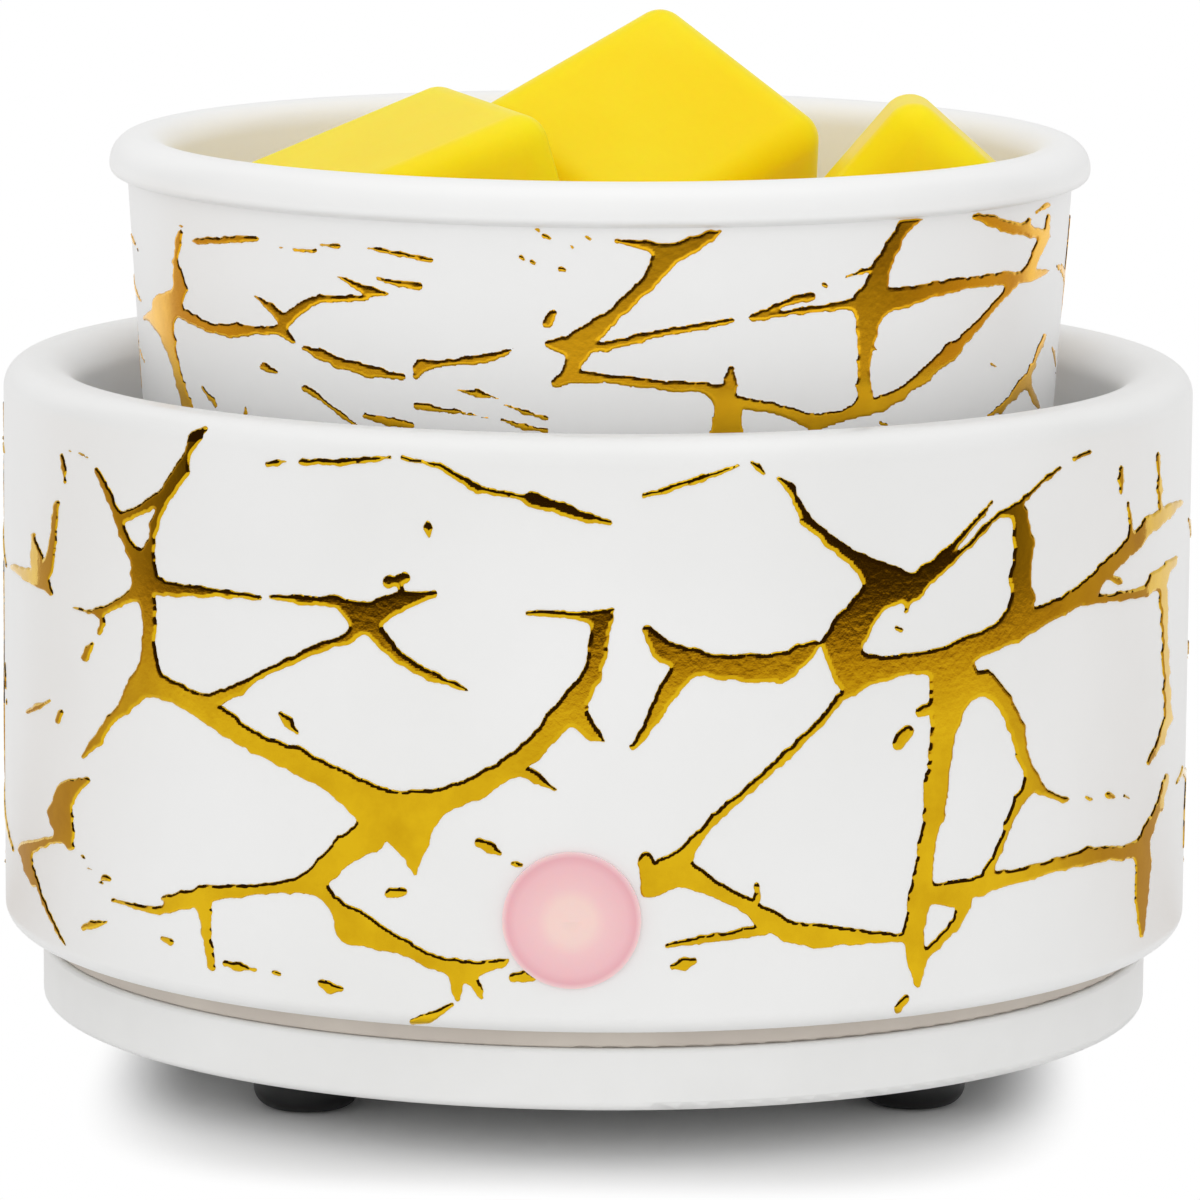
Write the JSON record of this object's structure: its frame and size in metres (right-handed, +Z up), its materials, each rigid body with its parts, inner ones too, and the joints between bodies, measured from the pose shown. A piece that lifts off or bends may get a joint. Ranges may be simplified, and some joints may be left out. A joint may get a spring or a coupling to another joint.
{
  "type": "electric wax warmer pot",
  "caption": "Round ceramic electric wax warmer: a drum body with gold veining, a lift-out wax dish on a hot plate, a front indicator lamp and a plinth on rubber feet.",
  "frame": {"origin": "on the table under the middle of the drum body, at the bottom of the feet", "axes": "+Z up, -Y to the front with the indicator lamp, +X to the right seen from the front"},
  "size_m": [0.13, 0.131, 0.1126],
  "materials": {
    "white_glaze": "glossy glaze with gold veining",
    "white_plastic": "satin moulded",
    "warm_grey_seal": "matt",
    "black_rubber": "matt",
    "cast_aluminium": "turned face",
    "bare_steel": "zinc plated",
    "pink_lens": "translucent",
    "mica": "laminated mica",
    "board_green": "printed board",
    "block_nylon": "moulded nylon",
    "lead_sleeve": "silicone insulation",
    "silicone": "silicone seal",
    "gold_foil": "crinkled foil veining",
    "yellow_wax": "soft wax"
  },
  "bodies": {
    "base": {"ceramic_body": "white_glaze", "base_pan": "white_plastic", "base_seal": "warm_grey_seal", "foot_front_left": "black_rubber", "foot_front_right": "black_rubber", "foot_back_left": "black_rubber", "foot_back_right": "black_rubber", "hot_plate": "cast_aluminium", "plate_seal": "silicone", "ptc_heater": "cast_aluminium", "mica_sheet": "mica", "heater_clamp": "bare_steel", "clamp_screws": "bare_steel", "thermal_cutoff": "lead_sleeve", "cutoff_clip": "bare_steel", "cutoff_screw": "bare_steel", "heat_shield": "cast_aluminium", "standoffs": "bare_steel", "pan_screws": "bare_steel", "indicator_lens": "pink_lens", "lens_seal": "silicone", "lamp_diode": "pink_lens", "lamp_board": "board_green", "lamp_bracket": "bare_steel", "bracket_screw": "bare_steel", "terminal_block": "block_nylon", "terminal_screw": "bare_steel", "cord_gland": "black_rubber", "heater_leads": "lead_sleeve", "lamp_leads": "lead_sleeve"},
    "dish": {"wax_dish": "white_glaze"},
    "melt_left": {"wax_melt_left": "yellow_wax"},
    "melt_centre": {"wax_melt_centre": "yellow_wax"},
    "melt_right": {"wax_melt_right": "yellow_wax"}
  },
  "joints": [
    {"name": "dish_lift", "type": "slide", "parent": "base", "child": "dish", "axis": [0, 0, 1], "range_m": [0, 0.06]},
    {"name": "melt_left_lift", "type": "slide", "parent": "dish", "child": "melt_left", "axis": [0, 0, 1], "range_m": [0, 0.05]},
    {"name": "melt_centre_lift", "type": "slide", "parent": "melt_left", "child": "melt_centre", "axis": [0, 0, 1], "range_m": [0, 0.05]},
    {"name": "melt_right_lift", "type": "slide", "parent": "dish", "child": "melt_right", "axis": [0, 0, 1], "range_m": [0, 0.05]}
  ]
}
